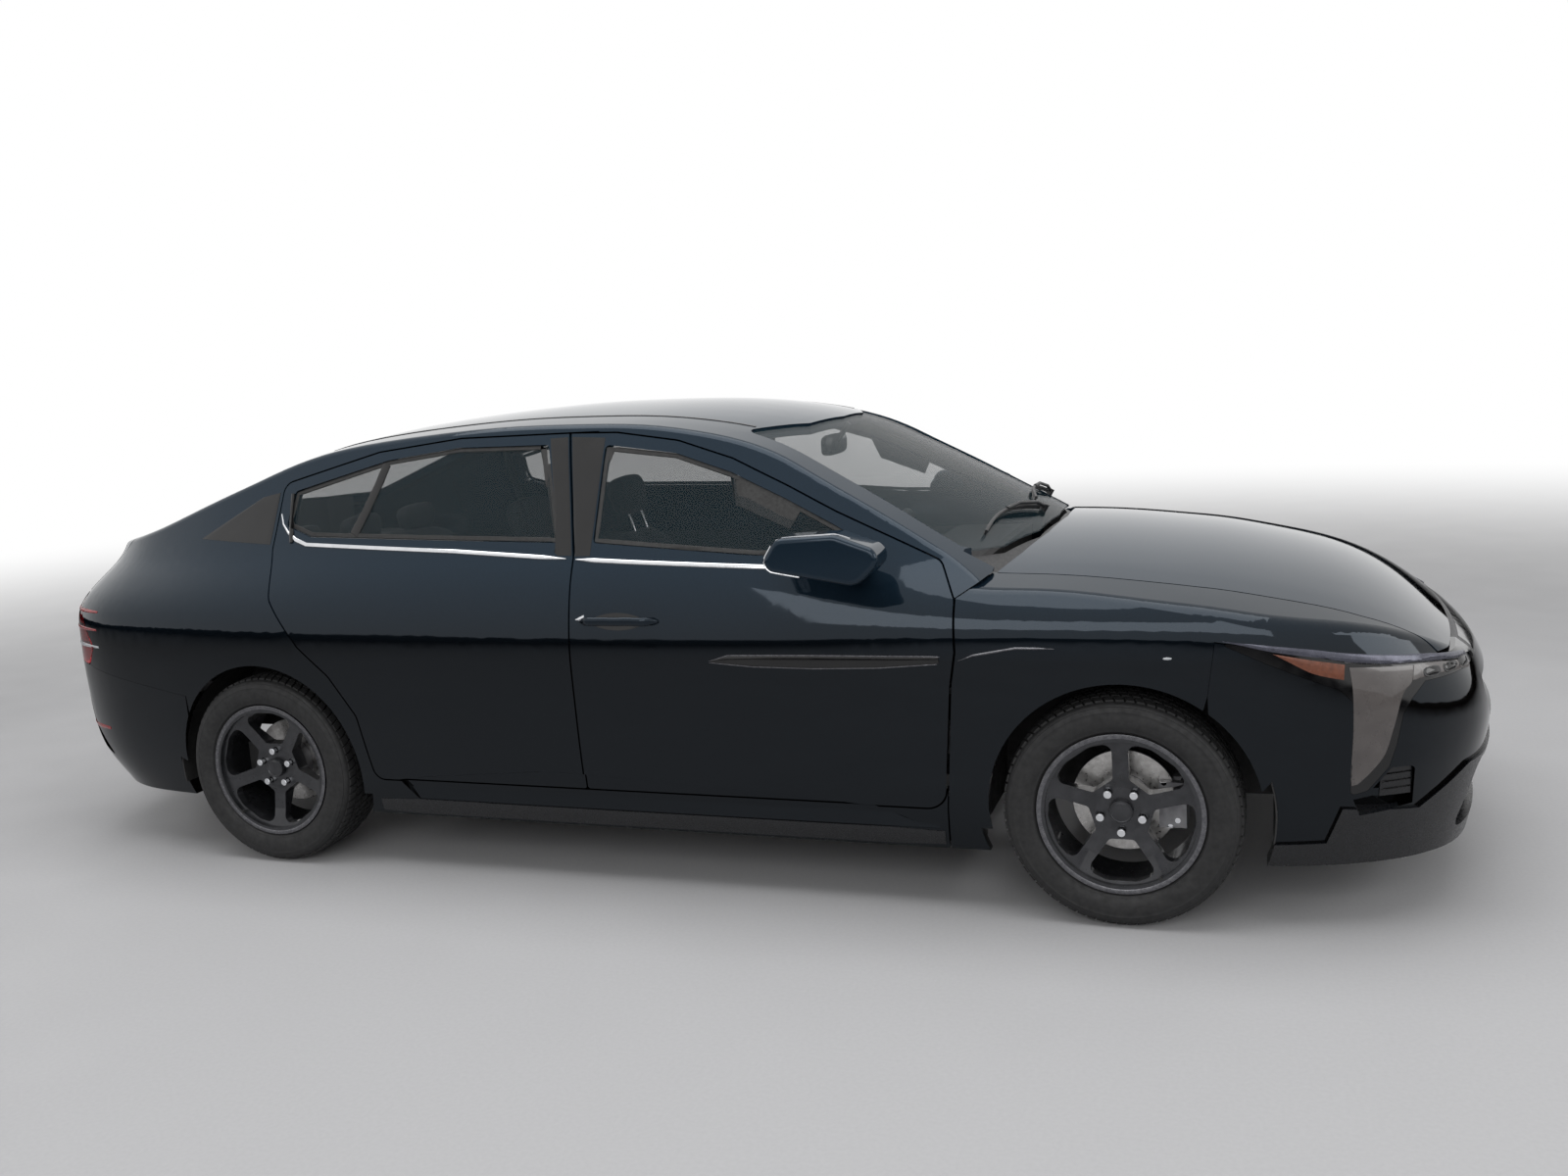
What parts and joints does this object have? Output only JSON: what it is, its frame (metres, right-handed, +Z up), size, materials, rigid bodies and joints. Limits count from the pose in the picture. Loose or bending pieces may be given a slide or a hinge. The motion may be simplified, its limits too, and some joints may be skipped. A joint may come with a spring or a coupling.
{
  "type": "fastback sedan car",
  "caption": "Compact fastback sedan with opening doors, bonnet and boot lid, steered front wheels and a furnished hollow cabin.",
  "frame": {"origin": "on the ground under the middle of the overall length, on the centre plane", "axes": "+X forward to the nose, +Y to the car's left, +Z up"},
  "size_m": [4.7402, 2.04, 1.4256],
  "materials": {
    "seal_rubber": "soft black rubber",
    "body_paint": "deep black clear-coated paint",
    "tinted_glass": "tinted safety glass",
    "black_trim": "grained black plastic",
    "lamp_clear": "clear lamp lens over satin reflector",
    "lamp_red": "dark red lamp lens",
    "underbody": "matt underbody coating",
    "engine_metal": "cast metal",
    "exhaust_steel": "dull stainless steel",
    "seat_fabric": "dark woven upholstery",
    "alloy": "dark grey painted alloy",
    "tyre": "black rubber"
  },
  "bodies": {
    "body": {"floor_pan": "underbody", "side_frame_right": "body_paint", "side_frame_left": "body_paint", "roof_panel": "body_paint", "windscreen": "tinted_glass", "rear_window": "tinted_glass", "cowl": "black_trim", "front_fenders": "body_paint", "headlamps": "lamp_clear", "front_bumper": "body_paint", "grille": "black_trim", "tail_lamps": "lamp_red", "rear_bumper": "body_paint", "parcel_shelf": "black_trim", "engine_block": "engine_metal", "radiator": "engine_metal", "subframe": "underbody", "exhaust": "exhaust_steel", "lower_arms": "underbody", "strut_mounts": "underbody", "rear_axle": "underbody", "dashboard": "black_trim", "front_seats": "seat_fabric", "rear_bench": "seat_fabric", "door_seals": "body_paint", "boot_seal": "seal_rubber", "front_lip": "black_trim", "rear_diffuser": "black_trim", "wheel_liners": "underbody"},
    "door_front_right": {"door_front_right": "body_paint", "window_front_right": "tinted_glass", "mirror_right": "body_paint"},
    "door_front_left": {"door_front_left": "body_paint", "window_front_left": "tinted_glass", "mirror_left": "body_paint"},
    "door_rear_right": {"door_rear_right": "body_paint", "window_rear_right": "tinted_glass"},
    "door_rear_left": {"door_rear_left": "body_paint", "window_rear_left": "tinted_glass"},
    "bonnet": {"bonnet": "body_paint"},
    "boot_lid": {"boot_lid": "body_paint"},
    "steering_wheel": {"steering_wheel": "black_trim"},
    "knuckle_right": {"knuckle_right": "underbody"},
    "knuckle_left": {"knuckle_left": "underbody"},
    "wheel_front_right": {"tyre_front_right": "tyre", "rim_front_right": "alloy"},
    "wheel_front_left": {"tyre_front_left": "tyre", "rim_front_left": "alloy"},
    "wheel_rear_right": {"tyre_rear_right": "tyre", "rim_rear_right": "alloy"},
    "wheel_rear_left": {"tyre_rear_left": "tyre", "rim_rear_left": "alloy"}
  },
  "joints": [
    {"name": "door_front_right_hinge", "type": "hinge", "parent": "body", "child": "door_front_right", "pos_m": [0.9905, -0.9215, 0.6], "axis": [0, 0, 1], "range_deg": [0, 65]},
    {"name": "door_front_left_hinge", "type": "hinge", "parent": "body", "child": "door_front_left", "pos_m": [0.9905, 0.9215, 0.6], "axis": [0, 0, -1], "range_deg": [0, 65]},
    {"name": "door_rear_right_hinge", "type": "hinge", "parent": "body", "child": "door_rear_right", "pos_m": [-0.1525, -0.922, 0.6], "axis": [0, 0, 1], "range_deg": [0, 68]},
    {"name": "door_rear_left_hinge", "type": "hinge", "parent": "body", "child": "door_rear_left", "pos_m": [-0.1525, 0.922, 0.6], "axis": [0, 0, -1], "range_deg": [0, 68]},
    {"name": "bonnet_hinge", "type": "hinge", "parent": "body", "child": "bonnet", "pos_m": [1.075, 0, 0.955], "axis": [0, -1, 0], "range_deg": [0, 50]},
    {"name": "boot_lid_hinge", "type": "hinge", "parent": "body", "child": "boot_lid", "pos_m": [-1.928, 0, 1.084], "axis": [0, 1, 0], "range_deg": [0, 75]},
    {"name": "steer_left", "type": "hinge", "parent": "body", "child": "knuckle_left", "pos_m": [1.408, 0.705, 0.19], "axis": [0, -0.1717, 0.9852], "range_deg": [-35, 35]},
    {"name": "steer_right", "type": "hinge", "parent": "body", "child": "knuckle_right", "pos_m": [1.408, -0.705, 0.19], "axis": [0, 0.1717, 0.9852], "range_deg": [-35, 35]},
    {"name": "steering_wheel_turn", "type": "hinge", "parent": "body", "child": "steering_wheel", "pos_m": [0.5, 0.37, 0.8], "axis": [-0.9135, 0, 0.4067], "range_deg": [-500, 500]},
    {"name": "wheel_front_right_spin", "type": "hinge", "parent": "knuckle_right", "child": "wheel_front_right", "pos_m": [1.408, -0.805, 0.312], "axis": [0, 1, 0], "continuous": true},
    {"name": "wheel_front_left_spin", "type": "hinge", "parent": "knuckle_left", "child": "wheel_front_left", "pos_m": [1.408, 0.805, 0.312], "axis": [0, 1, 0], "continuous": true},
    {"name": "wheel_rear_right_spin", "type": "hinge", "parent": "body", "child": "wheel_rear_right", "pos_m": [-1.312, -0.805, 0.312], "axis": [0, 1, 0], "continuous": true},
    {"name": "wheel_rear_left_spin", "type": "hinge", "parent": "body", "child": "wheel_rear_left", "pos_m": [-1.312, 0.805, 0.312], "axis": [0, 1, 0], "continuous": true}
  ],
  "couplings": [
    {"joint": "steer_right", "follows": "steer_left", "ratio": 1},
    {"joint": "steering_wheel_turn", "follows": "steer_left", "ratio": 14}
  ]
}
